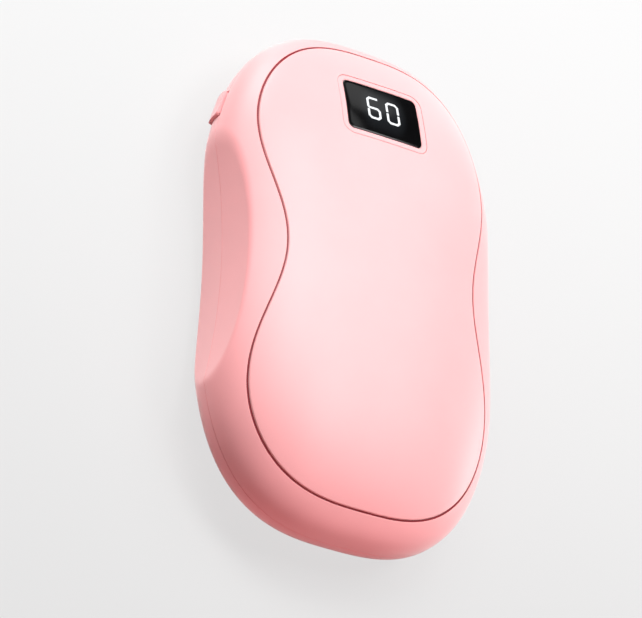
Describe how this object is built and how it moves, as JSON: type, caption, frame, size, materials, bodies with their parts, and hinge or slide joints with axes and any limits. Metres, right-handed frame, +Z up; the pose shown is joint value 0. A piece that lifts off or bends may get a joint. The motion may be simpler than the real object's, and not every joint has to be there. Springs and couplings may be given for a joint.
{
  "type": "rechargeable hand warmer",
  "caption": "Rounded rechargeable hand warmer with waisted heating panels, hollow side grips, a small number display, a side power button and a charging port",
  "frame": {"origin": "centre of the rest face, under the middle of the body's box, with the hand warmer lying on its back", "axes": "+X across the body, away from the power button; +Y along the body, towards the display and the charging port; +Z up, out of the front panel"},
  "size_m": [0.0638, 0.1079, 0.028],
  "materials": {
    "pink_shell": "satin",
    "pink_panel": "satin",
    "window": "polished",
    "lit_digits": "lit",
    "lamps": "moulded",
    "gold_pins": "plated",
    "heat_plate": "rolled",
    "heater_film": "film",
    "switch_black": "moulded",
    "plunger_white": "moulded",
    "port_metal": "plated",
    "port_black": "moulded",
    "board_green": "solder mask",
    "chip_black": "moulded",
    "inductor_grey": "pressed",
    "capacitor_tan": "fired",
    "cell_foil": "foil",
    "tray_white": "moulded",
    "foam_grey": "foam",
    "lead_red": "satin",
    "lead_black": "satin",
    "lead_orange": "satin",
    "sensor_dark": "dipped",
    "screw_steel": "plated"
  },
  "bodies": {
    "housing": {"front_shell": "pink_shell", "back_shell": "pink_shell", "front_panel": "pink_panel", "back_panel": "pink_panel", "display_bezel": "pink_panel", "display_window": "window", "display_digits": "lit_digits", "display_lamps": "lamps", "display_pins": "gold_pins", "front_heat_plate": "heat_plate", "back_heat_plate": "heat_plate", "front_heater_film": "heater_film", "back_heater_film": "heater_film", "switch_body": "switch_black", "port_shell": "port_metal", "port_tongue": "port_black", "main_board": "board_green", "controller_chip": "chip_black", "charging_chip": "chip_black", "power_inductor": "inductor_grey", "capacitors": "capacitor_tan", "battery_cell": "cell_foil", "battery_guard_board": "board_green", "battery_tray": "tray_white", "foam_pad": "foam_grey", "battery_lead_red": "lead_red", "battery_lead_black": "lead_black", "front_heater_leads": "lead_orange", "back_heater_leads": "lead_orange", "temperature_sensor": "sensor_dark", "case_screws": "screw_steel", "board_screws": "screw_steel"},
    "button": {"power_button": "pink_shell"},
    "plunger": {"switch_plunger": "plunger_white"}
  },
  "joints": [
    {"name": "button_press", "type": "slide", "parent": "housing", "child": "button", "axis": [0.95, -0.3122, 0], "range_m": [0, 0.0004], "stiffness_N_per_m": 400, "springref_m": -0.0004},
    {"name": "plunger_press", "type": "slide", "parent": "housing", "child": "plunger", "axis": [0.95, -0.3122, 0], "range_m": [0, 0.0004]}
  ],
  "couplings": [
    {"joint": "plunger_press", "follows": "button_press", "ratio": 1}
  ]
}
